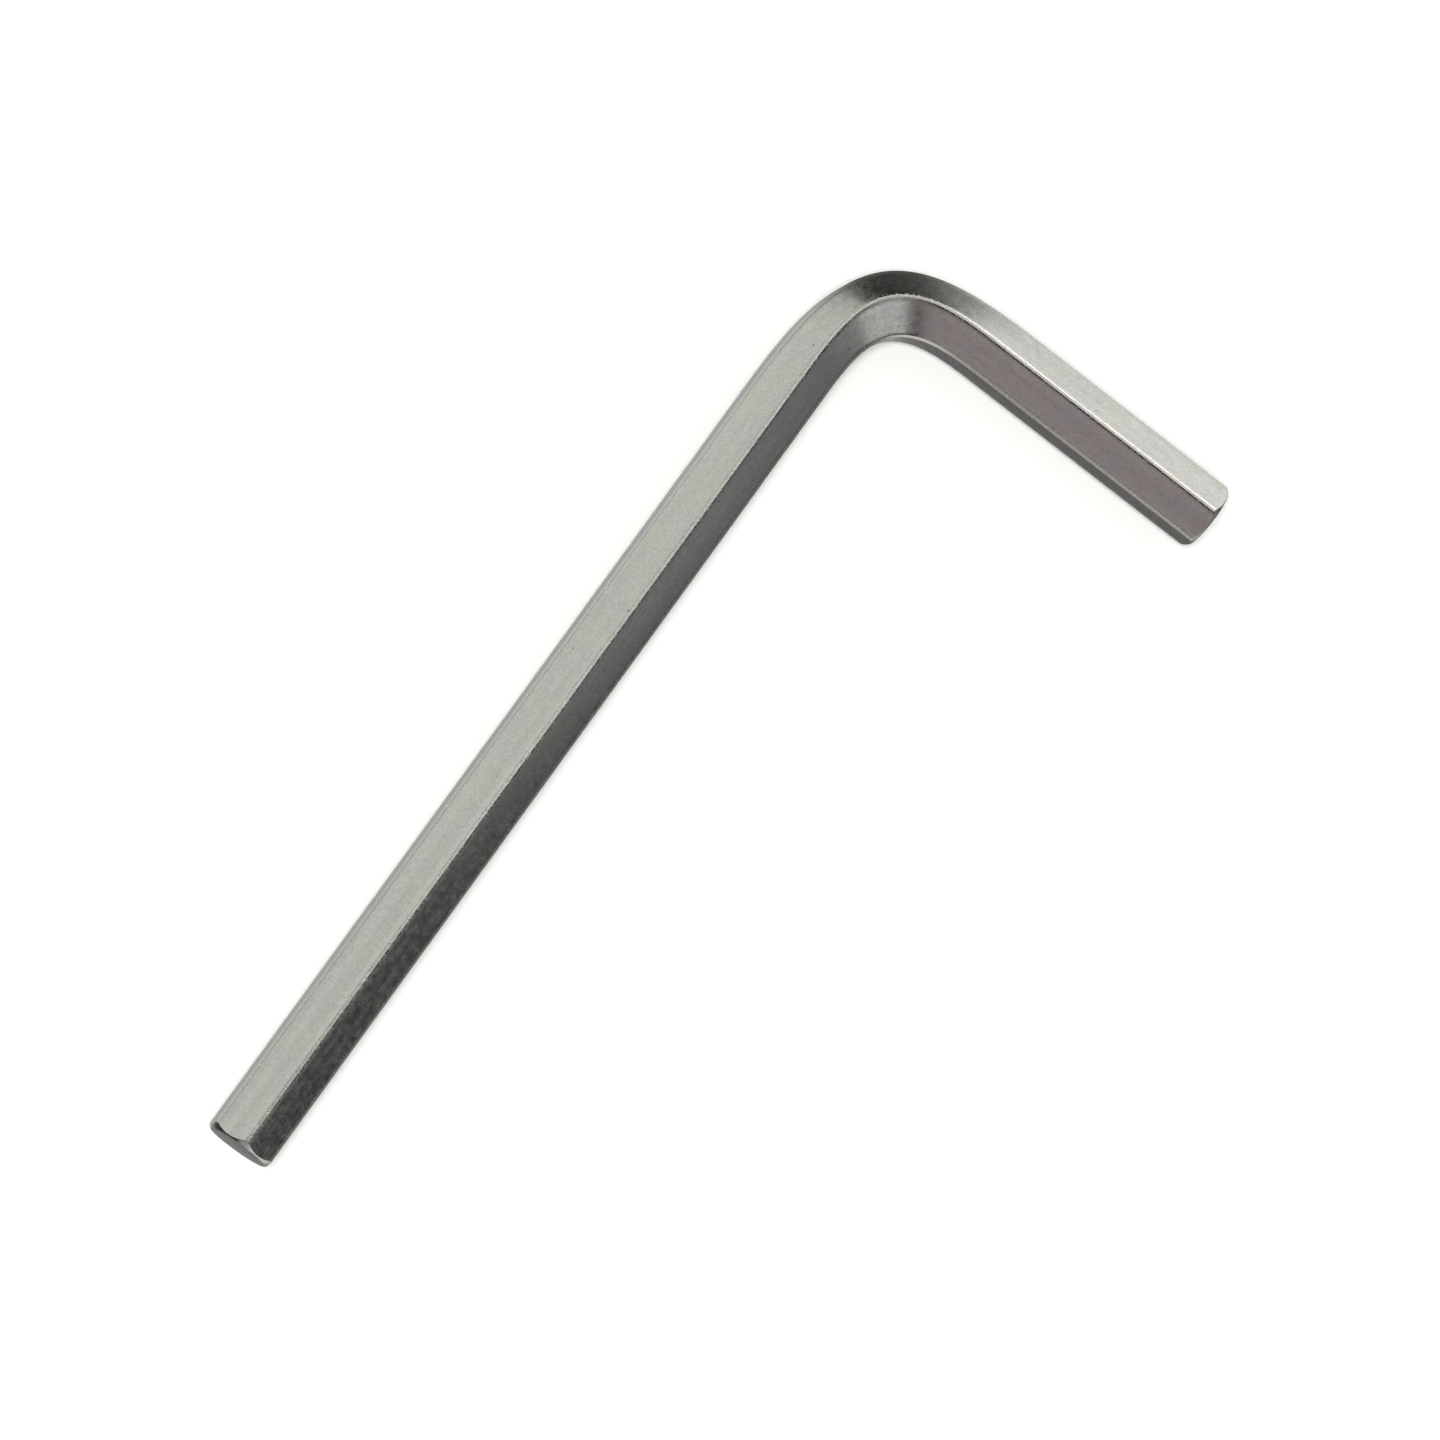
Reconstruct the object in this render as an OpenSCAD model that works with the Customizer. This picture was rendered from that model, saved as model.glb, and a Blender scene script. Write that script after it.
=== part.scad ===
// Hex key: one length of hexagonal steel bar, bent once to a right angle.
// Both tips are turned to a small conical chamfer round a flat face.
// It lies on two of its long edges, with flats facing the inside and the outside of the bend.
// Millimetres. Origin at the bottom centre of the key's box, long arm along Y, +Z up.

/* [Bar] */
// Width of the bar across its flats
flats_w = 5; // [4:0.5:8]
// Radius of the bar's six long edges
edge_r = 0.4; // [0.2:0.05:0.6]

/* [Arms] */
// Length of the long arm, from the outside of the bend to its tip
long_l = 84; // [60:1:120]
// Length of the short arm, from the outside of the bend to its tip
short_l = 34; // [30:1:55]

/* [Bend] */
// Radius of the arc that passes the middle of the bend's inner flat
bend_r = 5.5; // [4:0.1:7]
// How far the side edges are pushed outwards in the middle of the bend
edge_shift = 0.45; // [0:0.05:0.6]
// Pull of the bend towards its corner, where a smaller value turns more evenly
bend_pull = 0.81; // [0.65:0.01:0.9]

/* [Tips] */
// Width of the chamfer in from each flat
chamfer_w = 0.1; // [0.05:0.05:0.4]
// Slope of the chamfer, measured from the tip's flat face
chamfer_angle = 45; // [30:5:60]

/* [Hidden] */

// Steps of each edge's rounding, and rings along the bend
edge_steps = 4;
bend_steps = 56;

// Half the bar's width, and the height of its upper edge over its axis
half_w = flats_w / 2;
edge_centre = (half_w - edge_r) / cos(30);
half_h = edge_centre + edge_r;

// Each arm's length from the point where the two axes cross
long_axis_l = long_l - half_w;
short_axis_l = short_l - half_w;

// The section's outline round the bar's axis: u points to the inside of the bend, w points up
section = [
    for (corner = [0:5])
        for (step = [0:edge_steps])
            let (
                middle = 90 + 60 * corner,
                turn = middle - 30 + 60 * step / edge_steps
            )
            [
                edge_centre * cos(middle) + edge_r * cos(turn),
                edge_centre * sin(middle) + edge_r * sin(turn)
            ]
];

// One edge's path round the bend, for a reach of 1: a fifth-degree curve that leaves the
// first arm at [0, -1], joins the second at [1, 0] and meets both with no change of curvature.
function pull_weight(t) = 5 * t * pow(1 - t, 4) * bend_pull / 2 + 10 * t * t * pow(1 - t, 3) * bend_pull;
function end_weight(t) = pow(1 - t, 5) + 5 * t * pow(1 - t, 4) + 10 * t * t * pow(1 - t, 3);
function bend_x(t) = end_weight(1 - t) - pull_weight(1 - t);
function bend_path(t) = [bend_x(t), -bend_x(1 - t)];

// Distance from the corner to the middle of that path, and of a plain arc, for a reach of 1
path_middle = bend_x(0.5) * sqrt(2);
arc_middle = sqrt(2) - 1;

// The reach is how far before its corner a line of the bar starts to turn. The inner flat's
// comes from the bend's radius. The others keep the bar's depth over the middle of the bend,
// with the side edges pushed out.
corner_gap = (sqrt(2) - 1) * half_w;
inner_reach = bend_r * arc_middle / path_middle;
side_reach = inner_reach + (corner_gap - edge_shift) / path_middle;
outer_reach = side_reach + (corner_gap + edge_shift) / path_middle;
function reach(u) =
    u > 0
    ? side_reach + (inner_reach - side_reach) * u / half_w
    : side_reach + (side_reach - outer_reach) * u / half_w;

// Where the arms' straight bars start, just past the last line that turns
straight = 0.5;
bend_end = max(inner_reach + half_w, side_reach, outer_reach - half_w) + straight;

// The bend's rings: the first and the last are the arms' own sections
function bend_ring(t) = [
    for (p = section)
        let (path = reach(p[0]) * bend_path(t))
        [p[0] + path[0], path[1] - p[0], p[1]]
];
first_ring = [for (p = section) [p[0], -bend_end, p[1]]];
last_ring = [for (p = section) [bend_end, -p[0], p[1]]];

// Size of the ring that turns a tip's chamfer, well past the bar's edges
cutter_r = flats_w;
cutter_end = 1;

// Straight bar from the bend to a tip, standing on the bend's end
module straight_bar(length) {
    linear_extrude(height = length)
        polygon(section);
}

// Bent stretch of the bar, lofted through its rings
module bend() {
    rings = concat(
        [first_ring],
        [for (step = [0:bend_steps]) bend_ring(step / bend_steps)],
        [last_ring]
    );
    sides = len(section);
    last = len(rings) - 1;
    polyhedron(
        points = [for (ring = rings) each ring],
        faces = concat(
            [[for (i = [sides - 1:-1:0]) i]],
            [
                for (r = [0:last - 1])
                    for (i = [0:sides - 1])
                        for (half = [0, 1])
                            let (
                                a = r * sides + i,
                                b = r * sides + (i + 1) % sides
                            )
                            half == 0 ? [a, b, a + sides] : [b, b + sides, a + sides]
            ],
            [[for (i = [0:sides - 1]) last * sides + i]]
        )
    );
}

// Ring of metal that the turned chamfer takes off a tip, whose flat face lies at zero height
module tip_chamfer() {
    face_r = half_w - chamfer_w;
    rotate_extrude($fn = 96)
        polygon([
            [face_r, 0],
            [cutter_r, -(cutter_r - face_r) * tan(chamfer_angle)],
            [cutter_r, cutter_end],
            [face_r, cutter_end]
        ]);
}

// The whole key, with its box centred over the origin and its lower edges at zero height
module hex_key() {
    color([0.7, 0.7, 0.67])
        translate([half_w - short_l / 2, long_l / 2 - half_w, half_h])
            difference() {
                union() {
                    bend();
                    translate([0, -bend_end, 0])
                        rotate([90, 0, 0])
                            straight_bar(long_axis_l - bend_end);
                    translate([bend_end, 0, 0])
                        rotate([90, 0, 90])
                            straight_bar(short_axis_l - bend_end);
                }
                translate([0, -long_axis_l, 0])
                    rotate([90, 0, 0])
                        tip_chamfer();
                translate([short_axis_l, 0, 0])
                    rotate([90, 0, 90])
                        tip_chamfer();
            }
}

hex_key();
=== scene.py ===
from math import cos, pi, radians, sin, sqrt, tan

import bmesh
import bpy
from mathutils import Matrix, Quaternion, Vector


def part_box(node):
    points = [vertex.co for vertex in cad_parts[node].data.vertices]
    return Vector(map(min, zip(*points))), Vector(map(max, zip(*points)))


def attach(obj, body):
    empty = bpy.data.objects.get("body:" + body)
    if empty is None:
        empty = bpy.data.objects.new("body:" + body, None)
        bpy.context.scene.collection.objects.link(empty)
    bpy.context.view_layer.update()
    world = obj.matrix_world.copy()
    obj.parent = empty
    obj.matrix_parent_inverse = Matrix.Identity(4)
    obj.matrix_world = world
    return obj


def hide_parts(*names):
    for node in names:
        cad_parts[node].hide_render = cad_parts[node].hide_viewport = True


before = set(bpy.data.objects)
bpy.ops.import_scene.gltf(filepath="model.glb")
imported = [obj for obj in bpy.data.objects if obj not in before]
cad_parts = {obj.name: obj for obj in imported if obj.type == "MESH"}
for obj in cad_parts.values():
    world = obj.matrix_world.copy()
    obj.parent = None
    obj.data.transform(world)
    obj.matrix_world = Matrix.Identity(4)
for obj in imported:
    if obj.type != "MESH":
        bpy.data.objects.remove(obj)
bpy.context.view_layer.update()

# The key: one length of 5 mm hexagonal steel bar, cut to length, chamfered at both tips and
# bent cold to a right angle. It lies on two of its long edges, in the place of the CAD node.
MM = 0.001
FLATS_WIDTH = 5.0 * MM
EDGE_RADIUS = 0.4 * MM
BEND_RADIUS = 5.5 * MM
EDGE_SHIFT = 0.45 * MM
BEND_PULL = 0.81
CHAMFER_WIDTH = 0.1 * MM
CHAMFER_ANGLE = 45.0
# Keeps the long tip inside the CAD box, whose sides are rounded numbers
SLACK = 0.0005 * MM

low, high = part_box("hex_key")
half_width = FLATS_WIDTH / 2
long_axis = high.y - low.y - half_width - SLACK
short_axis = high.x - low.x - half_width
corner = Vector((low.x + half_width, high.y - half_width, (low.z + high.z) / 2))


def bend_share(t):
    """How far along the second arm the bend's path has come, for a reach of 1 from its corner."""
    pull = 5 * t**4 * (1 - t) * BEND_PULL / 2 + 10 * t**3 * (1 - t) ** 2 * BEND_PULL
    return t**5 + 5 * t**4 * (1 - t) + 10 * t**3 * (1 - t) ** 2 - pull


# How far before its corner each long line of the bar starts to turn
path_middle = bend_share(0.5) * sqrt(2)
corner_gap = (sqrt(2) - 1) * half_width
inner_reach = BEND_RADIUS * (sqrt(2) - 1) / path_middle
side_reach = inner_reach + (corner_gap - EDGE_SHIFT) / path_middle
outer_reach = side_reach + (corner_gap + EDGE_SHIFT) / path_middle


def reach(u):
    """The reach of a line at u from the bar's axis, towards the inside of the bend."""
    to_flat = (inner_reach if u > 0 else outer_reach) - side_reach
    return side_reach + to_flat * abs(u) / half_width


# Rings along the bend and along each arm, cuts across a flat, and steps of an edge's rounding
BEND_RINGS = 96
STRAIGHT_RINGS = 6
FLAT_CUTS = 11
EDGE_STEPS = 8
FACE_RADIUS = half_width - CHAMFER_WIDTH

# The straight bar, one unit long for each ring: a hexagon with its corners rounded off and its
# flats cut up, then drawn out ring by ring
bar = bmesh.new()
bmesh.ops.create_circle(bar, segments=6, radius=half_width / cos(radians(30)), cap_ends=True)
bmesh.ops.bevel(
    bar, geom=list(bar.verts), offset=EDGE_RADIUS * tan(radians(30)), offset_type="OFFSET",
    segments=EDGE_STEPS, profile=0.5, affect="VERTICES", material=-1,
)
flats = [edge for edge in bar.edges if edge.calc_length() > EDGE_RADIUS]
bmesh.ops.subdivide_edges(bar, edges=flats, cuts=FLAT_CUTS)
bmesh.ops.delete(bar, geom=list(bar.faces), context="FACES_ONLY")

# Stations along the bar: face circle, chamfer's foot, long arm, bend, short arm, foot, circle
first_bend = 1 + STRAIGHT_RINGS
last_bend = first_bend + BEND_RINGS
last_foot = last_bend + STRAIGHT_RINGS
last_station = last_foot + 1
bmesh.ops.spin(
    bar, geom=list(bar.edges), cent=(0, 0, 0), axis=(0, 0, 1), dvec=(0, 0, 1),
    angle=0, steps=last_station, use_merge=False,
)
bmesh.ops.holes_fill(bar, edges=[e for e in bar.edges if e.is_boundary], sides=0)


def on_key(u, w, station):
    """Where a point of the straight bar lies on the bent key."""
    foot = max(sqrt(u * u + w * w) - FACE_RADIUS, 0.0) * tan(radians(CHAMFER_ANGLE))
    if station < first_bend:
        share = max(station - 1, 0) / STRAIGHT_RINGS
        along = -(long_axis - foot) * (1 - share) - (u + reach(u)) * share
        return Vector((u, along, w))
    if station > last_bend:
        share = min(station - last_bend, STRAIGHT_RINGS) / STRAIGHT_RINGS
        along = (u + reach(u)) * (1 - share) + (short_axis - foot) * share
        return Vector((along, -u, w))
    t = (station - first_bend) / BEND_RINGS
    return Vector((u + reach(u) * bend_share(t), -u - reach(u) * bend_share(1 - t), w))


# Each point also keeps its place on the straight bar, for a finish that follows the bar
axis_points = [on_key(0.0, 0.0, station) for station in range(last_station + 1)]
axis_length = [0.0]
for before, after in zip(axis_points, axis_points[1:]):
    axis_length.append(axis_length[-1] + (after - before).length)
bar_length = axis_length[-1]
bar_place = bar.verts.layers.float_vector.new("bar_place")
for vert in bar.verts:
    u, w, station = vert.co.x, vert.co.y, round(vert.co.z)
    along = axis_length[station]
    if station in (0, last_station):
        shrink = FACE_RADIUS / sqrt(u * u + w * w)
        u, w = u * shrink, w * shrink
    elif station in (1, last_foot):
        foot = (sqrt(u * u + w * w) - FACE_RADIUS) * tan(radians(CHAMFER_ANGLE))
        along += foot if station == 1 else -foot
    vert[bar_place] = (u, w, along)
    vert.co = on_key(u, w, station) + corner
bmesh.ops.recalc_face_normals(bar, faces=list(bar.faces))

# Faces that meet at less than this shade as one, so only the chamfers keep sharp borders
SMOOTH_BELOW = radians(20)
for edge in bar.edges:
    edge.smooth = edge.calc_face_angle(0.0) < SMOOTH_BELOW
for face in bar.faces:
    face.smooth = True
key_mesh = bpy.data.meshes.new("hexagonal_bar")
bar.to_mesh(key_mesh)
bar.free()
key = bpy.data.objects.new("bent_hexagonal_key", key_mesh)
bpy.context.collection.objects.link(key)
weighted = key.modifiers.new("flat_normals", "WEIGHTED_NORMAL")
weighted.keep_sharp = True


def linear(hex_colour):
    """A colour given as sRGB hex, as the linear values that a shader takes."""
    parts = [int(hex_colour[i : i + 2], 16) / 255 for i in (1, 3, 5)]
    return [p / 12.92 if p <= 0.04045 else ((p + 0.055) / 1.055) ** 2.4 for p in parts] + [1.0]


def add_node(tree, kind, links=None, inputs=None, **settings):
    """Adds one node with its settings, its unlinked inputs and the links that feed it."""
    node = tree.nodes.new(kind)
    for name, value in settings.items():
        setattr(node, name, value)
    for socket, value in (inputs or {}).items():
        node.inputs[socket].default_value = value
    for socket, source in (links or {}).items():
        tree.links.new(source, node.inputs[socket])
    return node


# Satin nickel plate over cold-drawn steel: a warm grey mirror, blurred by the drawn bar's fine
# lengthwise lines and by the speckled grain of the plate, with pits, and with nicks along its edges
WARM_NICKEL = "#d4d1c3"
GREY_NICKEL = "#c9c8cb"
BAND_TINT = "#d8d8d8"
SPECKLE_TINT = "#c4c4c4"
DULL_PIT = "#908c88"
WORN_EDGE = "#e0dcd4"
CLOUD = 2.6 * MM
# The plate's own grain is a few hundredths of a millimetre wide, too fine to show, so the grain
# and the speckle are drawn coarser, and so are the drawing lines, really about 0.02 mm apart
GRAIN = 0.55 * MM
SPECKLE = 0.18 * MM
LINE_WIDTH = 0.14 * MM
LINE_LENGTH = 9.0 * MM
BAND_WIDTH = 0.9 * MM
BAND_LENGTH = 40.0 * MM
PIT_SPACING = 1.5 * MM
PIT_RADIUS = 0.08 * MM
TURNED_RING = 0.16 * MM
# How much of its tint a band and a speckle take at most
BAND_SHARE = 0.3
SPECKLE_SHARE = 0.32
# Roughness of the smoothest and the roughest grain, what a line adds or takes, and what polish takes
SMOOTH_GRAIN = 0.19
ROUGH_GRAIN = 0.29
LINE_ROUGHNESS = 0.025
POLISH = 0.07
# How far from the bar's axis the nicks, the polish and the softening start, and where they are
# full: the flats run into the rounded edges at 2.78 mm, whose tops are at 2.825 mm
NICKS_FROM = 2.68 * MM
NICKS_FULL = 2.79 * MM
POLISH_FROM = 2.75 * MM
POLISH_FULL = 2.81 * MM
SOFT_FROM = 2.674 * MM
SOFT_FULL = 2.825 * MM
# The noise at which a nick starts and is full
NICK_STARTS = 0.54
NICK_IS_FULL = 0.68
# How far short of the bar's end a point still counts as on the flat face of a tip
FACE_DEPTH = 0.004 * MM
# Heights of the relief, in millimetres. The crown is a flat's fall 1 mm from its middle
CROWN = 0.007
SOFTENING = 0.014
GRAIN_HEIGHT = 0.0020
LINE_HEIGHT = 0.0016
RING_HEIGHT = 0.006
PIT_DEPTH = 0.008
NICK_DEPTH = 0.007
nickel = bpy.data.materials.new("satin_nickel_plate")
nickel.use_nodes = True
tree = nickel.node_tree
shader = tree.nodes["Principled BSDF"]
shader.inputs["Metallic"].default_value = 1.0

object_place = add_node(tree, "ShaderNodeTexCoord").outputs["Object"]
on_bar = add_node(tree, "ShaderNodeAttribute", attribute_name="bar_place").outputs["Vector"]
section = add_node(
    tree, "ShaderNodeVectorMath", operation="MULTIPLY", inputs={1: (1.0, 1.0, 0.0)}, links={0: on_bar}
)
off_axis = add_node(
    tree, "ShaderNodeVectorMath", operation="LENGTH", links={0: section.outputs["Vector"]}
).outputs["Value"]
along_bar = add_node(tree, "ShaderNodeSeparateXYZ", links={0: on_bar}).outputs["Z"]

# Masks: the strip beside each long edge, the rounded edge itself, and the two flat tip faces
by_edge = add_node(
    tree, "ShaderNodeMapRange", interpolation_type="SMOOTHSTEP",
    inputs={"From Min": NICKS_FROM, "From Max": NICKS_FULL}, links={"Value": off_axis},
).outputs[0]
on_edge = add_node(
    tree, "ShaderNodeMapRange", interpolation_type="SMOOTHSTEP",
    inputs={"From Min": POLISH_FROM, "From Max": POLISH_FULL}, links={"Value": off_axis},
).outputs[0]
from_middle = add_node(
    tree, "ShaderNodeMath", operation="SUBTRACT", inputs={1: bar_length / 2}, links={0: along_bar}
).outputs[0]
from_middle = add_node(
    tree, "ShaderNodeMath", operation="ABSOLUTE", links={0: from_middle}
).outputs[0]
on_tip = add_node(
    tree, "ShaderNodeMath", operation="GREATER_THAN", inputs={1: bar_length / 2 - FACE_DEPTH},
    links={0: from_middle},
).outputs[0]

# Patterns: on the object for the plate, and along the bar for what came from drawing it
clouds = add_node(
    tree, "ShaderNodeTexNoise", inputs={"Scale": 1 / CLOUD, "Detail": 2.0, "Roughness": 0.5},
    links={"Vector": object_place},
).outputs["Fac"]
grain = add_node(
    tree, "ShaderNodeTexNoise", inputs={"Scale": 1 / GRAIN, "Detail": 3.0, "Roughness": 0.6},
    links={"Vector": object_place},
).outputs["Fac"]
drawn_out = add_node(
    tree, "ShaderNodeVectorMath", operation="MULTIPLY",
    inputs={1: (1 / LINE_WIDTH, 1 / LINE_WIDTH, 1 / LINE_LENGTH)}, links={0: on_bar},
).outputs["Vector"]
lines = add_node(
    tree, "ShaderNodeTexNoise", inputs={"Scale": 1.0, "Detail": 2.0, "Roughness": 0.6},
    links={"Vector": drawn_out},
).outputs["Fac"]
drawn_bands = add_node(
    tree, "ShaderNodeVectorMath", operation="MULTIPLY",
    inputs={1: (1 / BAND_WIDTH, 1 / BAND_WIDTH, 1 / BAND_LENGTH)}, links={0: on_bar},
).outputs["Vector"]
bands = add_node(
    tree, "ShaderNodeTexNoise", inputs={"Scale": 1.0, "Detail": 1.0}, links={"Vector": drawn_bands}
).outputs["Fac"]
pit_cells = add_node(
    tree, "ShaderNodeTexVoronoi", inputs={"Scale": 1 / PIT_SPACING}, links={"Vector": object_place}
).outputs["Distance"]
# The grain eats into each pit's rim, so that the pits differ in size and none is round
RIM_SWING = 0.22
RIM_SHIFT = -0.09
pit_rim = add_node(
    tree, "ShaderNodeMath", operation="MULTIPLY_ADD", inputs={1: RIM_SWING, 2: RIM_SHIFT},
    links={0: grain},
).outputs[0]
pit_cells = add_node(
    tree, "ShaderNodeMath", operation="ADD", links={0: pit_cells, 1: pit_rim}
).outputs[0]
PIT_FLOOR = 0.4 * PIT_RADIUS
PIT_SLOPE_ENDS = 1.6 * PIT_RADIUS
pits = add_node(
    tree, "ShaderNodeMapRange", interpolation_type="SMOOTHSTEP",
    inputs={"From Min": PIT_FLOOR / PIT_SPACING, "From Max": PIT_SLOPE_ENDS / PIT_SPACING,
            "To Min": 1.0, "To Max": 0.0},
    links={"Value": pit_cells},
).outputs[0]
speckle = add_node(
    tree, "ShaderNodeTexNoise", inputs={"Scale": 1 / SPECKLE, "Detail": 2.0, "Roughness": 0.6},
    links={"Vector": object_place},
).outputs["Fac"]
nicks = add_node(
    tree, "ShaderNodeMapRange", interpolation_type="SMOOTHSTEP",
    inputs={"From Min": NICK_STARTS, "From Max": NICK_IS_FULL}, links={"Value": speckle},
).outputs[0]
nicks = add_node(
    tree, "ShaderNodeMath", operation="MULTIPLY", links={0: nicks, 1: by_edge}
).outputs[0]
ring_noise = add_node(
    tree, "ShaderNodeTexNoise", noise_dimensions="1D",
    inputs={"Scale": 1 / TURNED_RING, "Detail": 1.0}, links={"W": off_axis},
).outputs["Fac"]
rings = add_node(
    tree, "ShaderNodeMath", operation="MULTIPLY", links={0: ring_noise, 1: on_tip}
).outputs[0]

# Colour: nickel that is a little yellower and a little greyer in clouds, darker in bands and in
# speckles, dull in its pits and bright where its edges are worn
tone = add_node(
    tree, "ShaderNodeMix", data_type="RGBA",
    inputs={6: linear(WARM_NICKEL), 7: linear(GREY_NICKEL)}, links={0: clouds},
).outputs[2]
band_share = add_node(
    tree, "ShaderNodeMapRange", inputs={"From Min": 0.35, "From Max": 0.65, "To Max": BAND_SHARE},
    links={"Value": bands},
).outputs[0]
tone = add_node(
    tree, "ShaderNodeMix", data_type="RGBA", blend_type="MULTIPLY",
    inputs={7: linear(BAND_TINT)}, links={0: band_share, 6: tone},
).outputs[2]
speckle_share = add_node(
    tree, "ShaderNodeMapRange", inputs={"From Min": 0.35, "From Max": 0.65, "To Max": SPECKLE_SHARE},
    links={"Value": speckle},
).outputs[0]
tone = add_node(
    tree, "ShaderNodeMix", data_type="RGBA", blend_type="MULTIPLY",
    inputs={7: linear(SPECKLE_TINT)}, links={0: speckle_share, 6: tone},
).outputs[2]
dull = add_node(
    tree, "ShaderNodeMix", data_type="RGBA", inputs={7: linear(DULL_PIT)},
    links={0: pits, 6: tone},
).outputs[2]
worn = add_node(
    tree, "ShaderNodeMix", data_type="RGBA", inputs={7: linear(WORN_EDGE)},
    links={0: nicks, 6: dull},
).outputs[2]
tree.links.new(worn, shader.inputs["Base Color"])

# Roughness: the grain's, with the lines on it, and smoother where handling has polished the edges
grain_rough = add_node(
    tree, "ShaderNodeMapRange",
    inputs={"From Min": 0.3, "From Max": 0.7, "To Min": SMOOTH_GRAIN, "To Max": ROUGH_GRAIN},
    links={"Value": grain},
).outputs[0]
line_rough = add_node(
    tree, "ShaderNodeMapRange",
    inputs={"From Min": 0.3, "From Max": 0.7, "To Min": -LINE_ROUGHNESS, "To Max": LINE_ROUGHNESS},
    links={"Value": lines},
).outputs[0]
rough = add_node(
    tree, "ShaderNodeMath", operation="ADD", links={0: grain_rough, 1: line_rough}
).outputs[0]
edge_smooth = add_node(
    tree, "ShaderNodeMath", operation="MULTIPLY", inputs={1: -POLISH}, links={0: on_edge}
).outputs[0]
rough = add_node(
    tree, "ShaderNodeMath", operation="ADD", links={0: rough, 1: edge_smooth}
).outputs[0]
tree.links.new(rough, shader.inputs["Roughness"])

# The flats of drawn bar are crowned by about a hundredth of a millimetre
crown = add_node(
    tree, "ShaderNodeVectorMath", operation="DOT_PRODUCT",
    links={0: section.outputs["Vector"], 1: section.outputs["Vector"]},
).outputs["Value"]

# Tumbling before the plating has softened the flats where they run into the edges
softened = add_node(
    tree, "ShaderNodeMapRange",
    inputs={"From Min": SOFT_FROM, "From Max": SOFT_FULL}, links={"Value": off_axis},
).outputs[0]
softened = add_node(
    tree, "ShaderNodeMath", operation="POWER", inputs={1: 2.0}, links={0: softened}
).outputs[0]

# Relief: every pattern times its height, added up
relief = None
for pattern, height in (
    (crown, -CROWN / MM**2),
    (softened, -SOFTENING),
    (grain, GRAIN_HEIGHT),
    (lines, LINE_HEIGHT),
    (rings, RING_HEIGHT),
    (pits, -PIT_DEPTH),
    (nicks, -NICK_DEPTH),
):
    layer = add_node(
        tree, "ShaderNodeMath", operation="MULTIPLY", inputs={1: height}, links={0: pattern}
    ).outputs[0]
    if relief is not None:
        layer = add_node(
            tree, "ShaderNodeMath", operation="ADD", links={0: relief, 1: layer}
        ).outputs[0]
    relief = layer
bump = add_node(
    tree, "ShaderNodeBump", inputs={"Strength": 1.0, "Distance": MM}, links={"Height": relief}
)
tree.links.new(bump.outputs["Normal"], shader.inputs["Normal"])
key_mesh.materials.append(nickel)
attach(key, "root")
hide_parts("hex_key")

# The floor: a plain sheet of white paper that the key lies on. The metal doesn't mirror this
# sheet, because the lower half of the room stands in for it, in tones that suit each flat.
PAPER_WHITE = "#f4f4f2"
PAPER_ROUGHNESS = 0.9
FLOOR_SIZE = 4.0
floor_bm = bmesh.new()
bmesh.ops.create_grid(floor_bm, x_segments=1, y_segments=1, size=FLOOR_SIZE / 2)
floor_mesh = bpy.data.meshes.new("paper_sheet")
floor_bm.to_mesh(floor_mesh)
floor_bm.free()
floor = bpy.data.objects.new("floor", floor_mesh)
bpy.context.collection.objects.link(floor)
paper = bpy.data.materials.new("white_paper")
paper.use_nodes = True
paper_shader = paper.node_tree.nodes["Principled BSDF"]
paper_shader.inputs["Base Color"].default_value = linear(PAPER_WHITE)
paper_shader.inputs["Roughness"].default_value = PAPER_ROUGHNESS
floor_mesh.materials.append(paper)
floor.visible_glossy = False


# The light: a plain white room and one soft lamp straight behind the camera light the floor, and
# soft boxes stand round the key for its metal to mirror.
def soft_box(name, azimuth, elevation, distance, width, height, radiance, colour="#ffffff", roll=0.0):
    """A flat lamp that faces the key, in metres and degrees, with azimuths from +X towards +Y."""
    light = bpy.data.lights.new(name, "AREA")
    light.shape = "RECTANGLE"
    light.size = width
    light.size_y = height
    light.color = linear(colour)[:3]
    # The watts at which a flat lamp of this size shows that radiance
    light.energy = radiance * pi * width * height
    lamp = bpy.data.objects.new(name, light)
    level = distance * cos(radians(elevation))
    across = level * cos(radians(azimuth))
    along = level * sin(radians(azimuth))
    lamp.location = (across, along, distance * sin(radians(elevation)))
    facing = (-lamp.location).to_track_quat("-Z", "Y")
    lamp.rotation_euler = (facing @ Quaternion((0.0, 0.0, 1.0), radians(roll))).to_euler()
    lamp.visible_camera = False
    bpy.context.collection.objects.link(lamp)
    return lamp


floor_lamp = soft_box("floor_lamp", -126, 76, 1.2, 0.3, 0.3, 40.0)
floor_lamp.visible_glossy = False

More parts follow.
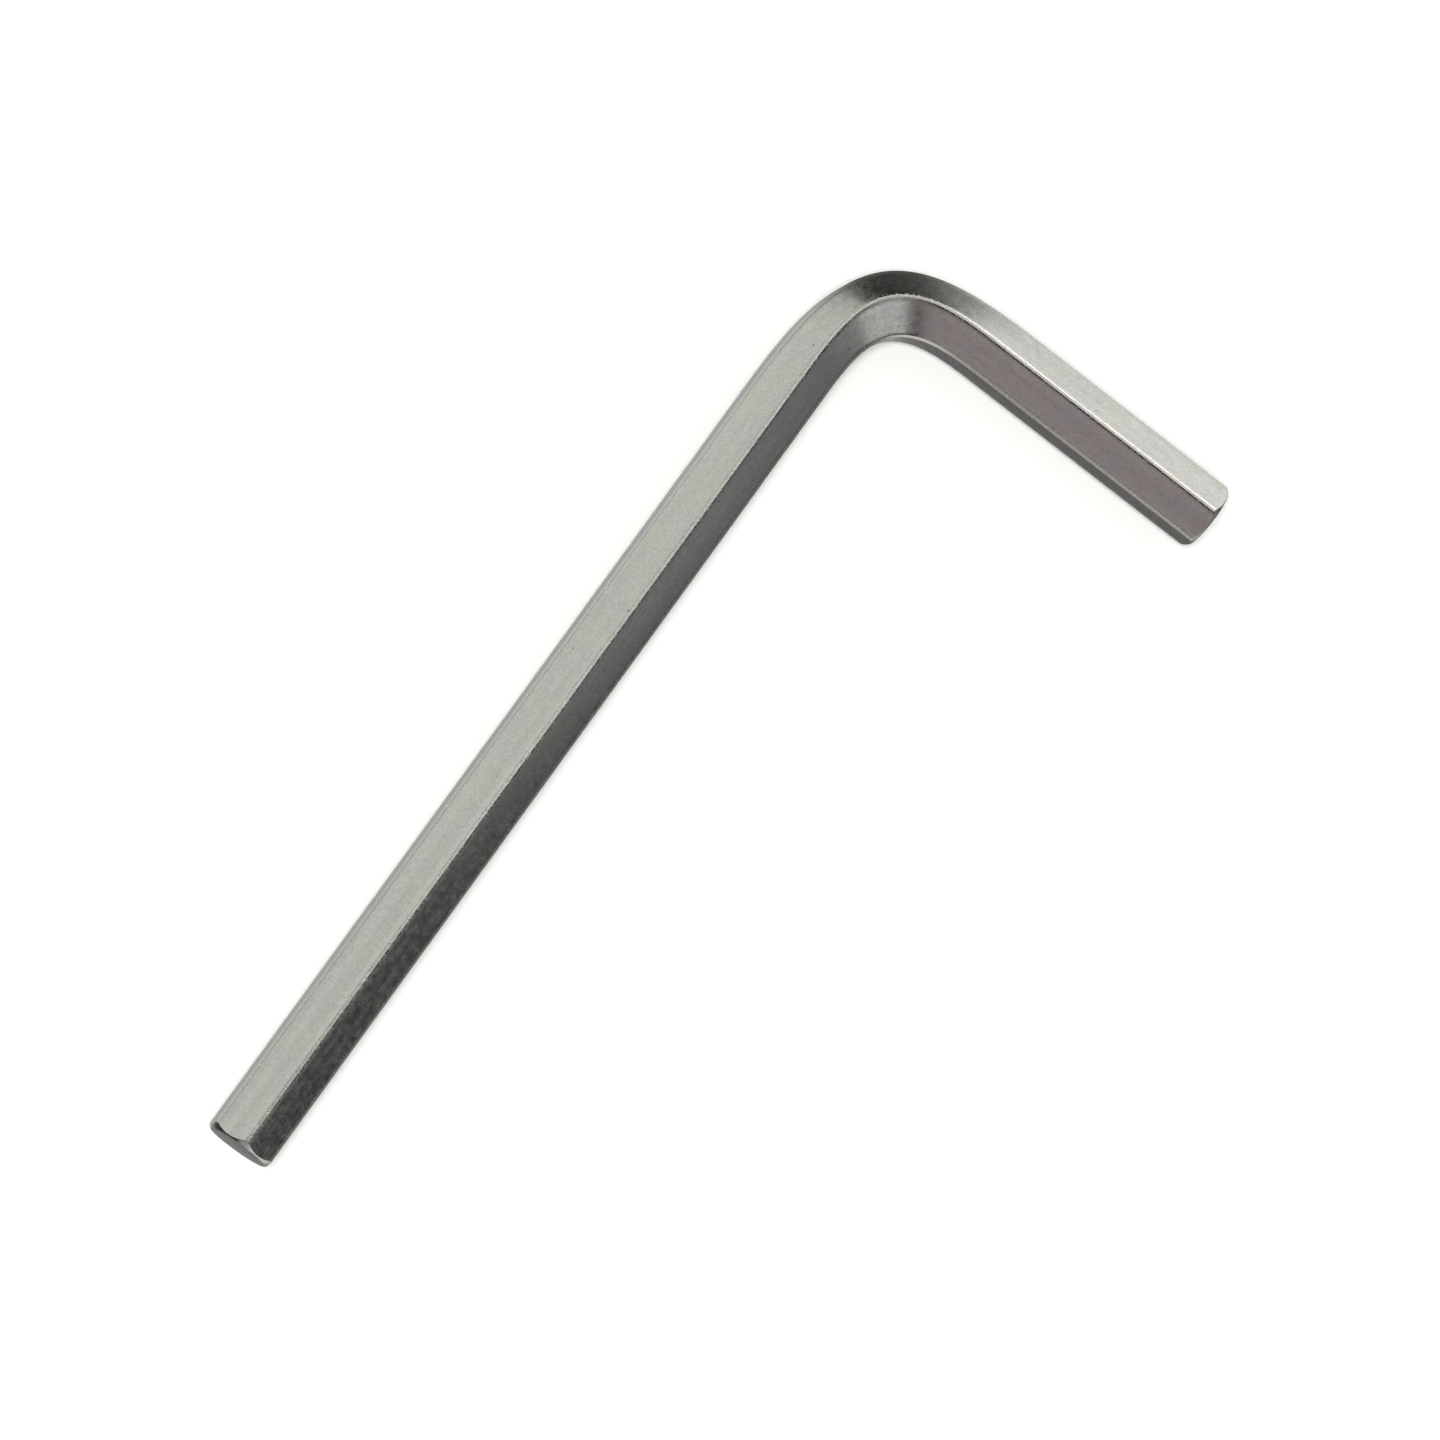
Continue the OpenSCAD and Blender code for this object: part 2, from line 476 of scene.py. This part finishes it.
# Each box stands where a flat, a rounded edge or the bend mirrors it into the camera. The two near
# ones change the tone along the long arm. Azimuth, elevation, distance, width, height, radiance,
# colour and roll:
boxes = [
    soft_box("left_box", 164, 41, 1.6, 1.35, 1.30, 0.88, "#fafffa"),
    soft_box("back_box", 65, 33, 1.6, 1.20, 1.40, 1.15, "#fdfffe"),
    soft_box("crest_box", 76, 36, 1.6, 0.50, 0.60, 1.60, "#fffdf6"),
    soft_box("right_box", 21, 24, 0.4, 0.09, 0.10, 0.24, "#f2f2ff"),
    soft_box("bend_box", 13.5, 29, 0.35, 0.045, 0.045, 0.36, "#fffaf8"),
    soft_box("front_right_box", -16, 38.5, 2.5, 1.6, 0.75, 0.80, "#fafaff", -22),
    soft_box("front_box", -77, 45, 1.6, 1.05, 0.8, 0.39, "#fff2f8"),
    soft_box("low_front_box", -75, 16, 1.6, 1.2, 0.60, 0.32, "#fff6f6"),
    soft_box("top_box", 92, 74, 1.6, 1.00, 0.70, 0.95),
    soft_box("high_right_box", 36, 62, 1.6, 0.35, 0.35, 1.00),
    soft_box("high_front_box", -8, 63, 1.6, 0.55, 0.58, 0.58),
]
for box in boxes:
    box.visible_diffuse = False

# The room: white where it lights the floor and where the camera looks past the floor. The metal
# shows it nearly dark above, shows the white sheet below in a tone for each side, and straight
# down shows the key's own shade on the sheet, which is lighter on the left.
ROOM_WHITE = 0.50
ROOM_UP = 0.02
SHADE_RIGHT = 0.13
SHADE_LEFT = 0.50
# Where the shade's left lies, and how far that way, on a unit ball, its right tone turns to its left
LEFT = (-0.6, 0.8, 0.0)
SHADE_TURNS = (-0.30, -0.02)
# Heights on a unit ball where the shade gives way to the sheet, and the sheet to the room above
SHEET_STARTS = (-0.95, -0.65)
SHEET_ENDS = (0.05, 0.30)
# Tones of the sheet towards each azimuth, in degrees from +X towards +Y, chosen for the
# flats that mirror it
SHEET_TONES = (
    (-180, 0.85), (-155, 0.45), (-138, 0.05), (-100, 0.06), (-84, 0.40), (-66, 0.90), (-35, 0.90),
    (-10, 0.30), (10, 0.25), (28, 0.15), (50, 1.00), (78, 1.20), (90, 0.40), (100, 0.12),
    (135, 0.12), (156, 0.85), (180, 0.85),
)
world = bpy.data.worlds.new("white_room")
world.use_nodes = True
tree = world.node_tree
tree.nodes.clear()
direction = add_node(tree, "ShaderNodeTexCoord").outputs["Generated"]
parts = add_node(tree, "ShaderNodeSeparateXYZ", links={0: direction})
azimuth = add_node(
    tree, "ShaderNodeMath", operation="ARCTAN2", links={0: parts.outputs["Y"], 1: parts.outputs["X"]}
).outputs[0]
around = add_node(
    tree, "ShaderNodeMath", operation="MULTIPLY_ADD", inputs={1: 0.5 / pi, 2: 0.5}, links={0: azimuth}
).outputs[0]
sheet = add_node(tree, "ShaderNodeValToRGB", links={0: around})
stops = sheet.color_ramp.elements
while len(stops) < len(SHEET_TONES):
    stops.new(0.5)
for stop, (degrees, tone) in zip(stops, SHEET_TONES):
    stop.position = degrees / 360 + 0.5
    stop.color = (tone, tone, tone, 1.0)
leftness = add_node(
    tree, "ShaderNodeVectorMath", operation="DOT_PRODUCT", inputs={1: LEFT}, links={0: direction}
).outputs["Value"]
shade = add_node(
    tree, "ShaderNodeMapRange", interpolation_type="SMOOTHSTEP",
    inputs={"From Min": SHADE_TURNS[0], "From Max": SHADE_TURNS[1],
            "To Min": SHADE_RIGHT, "To Max": SHADE_LEFT},
    links={"Value": leftness},
).outputs[0]
far_off = add_node(
    tree, "ShaderNodeMapRange", interpolation_type="SMOOTHSTEP",
    inputs={"From Min": SHEET_STARTS[0], "From Max": SHEET_STARTS[1]},
    links={"Value": parts.outputs["Z"]},
).outputs[0]
floor_seen = add_node(
    tree, "ShaderNodeMix", data_type="FLOAT", links={0: far_off, 2: shade, 3: sheet.outputs[0]}
).outputs[0]
above = add_node(
    tree, "ShaderNodeMapRange", interpolation_type="SMOOTHSTEP",
    inputs={"From Min": SHEET_ENDS[0], "From Max": SHEET_ENDS[1]},
    links={"Value": parts.outputs["Z"]},
).outputs[0]
dim_side = add_node(
    tree, "ShaderNodeMix", data_type="FLOAT", inputs={3: ROOM_UP}, links={0: above, 2: floor_seen}
)
in_metal = add_node(
    tree, "ShaderNodeBackground", inputs={"Color": linear("#ffffff")},
    links={"Strength": dim_side.outputs[0]},
)
in_view = add_node(
    tree, "ShaderNodeBackground", inputs={"Color": linear("#ffffff"), "Strength": ROOM_WHITE}
)
ray = add_node(tree, "ShaderNodeLightPath")
both = add_node(
    tree, "ShaderNodeMixShader",
    links={0: ray.outputs["Is Glossy Ray"], 1: in_view.outputs[0], 2: in_metal.outputs[0]},
)
add_node(tree, "ShaderNodeOutputWorld", links={"Surface": both.outputs[0]})
world.cycles.sampling_method = "NONE"
bpy.context.scene.world = world

# The camera: above the key, a little to its left and front, with the photograph's framing.
# Its lens and sensor are in millimetres, its place in metres and its turns in degrees.
LENS = 181.39
SENSOR = 36.0
FARTHEST = 20.0
CAMERA_PLACE = (-75.69 * MM, -103.82 * MM, 520.96 * MM)
CAMERA_TURNS = (4.914, -13.205, 35.939)
camera_data = bpy.data.cameras.new("camera")
camera_data.lens = LENS
camera_data.sensor_width = SENSOR
camera_data.clip_end = FARTHEST
camera = bpy.data.objects.new("camera", camera_data)
camera.location = CAMERA_PLACE
camera.rotation_euler = [radians(turn) for turn in CAMERA_TURNS]
bpy.context.collection.objects.link(camera)
bpy.context.scene.camera = camera
bpy.context.scene.view_settings.view_transform = "Standard"
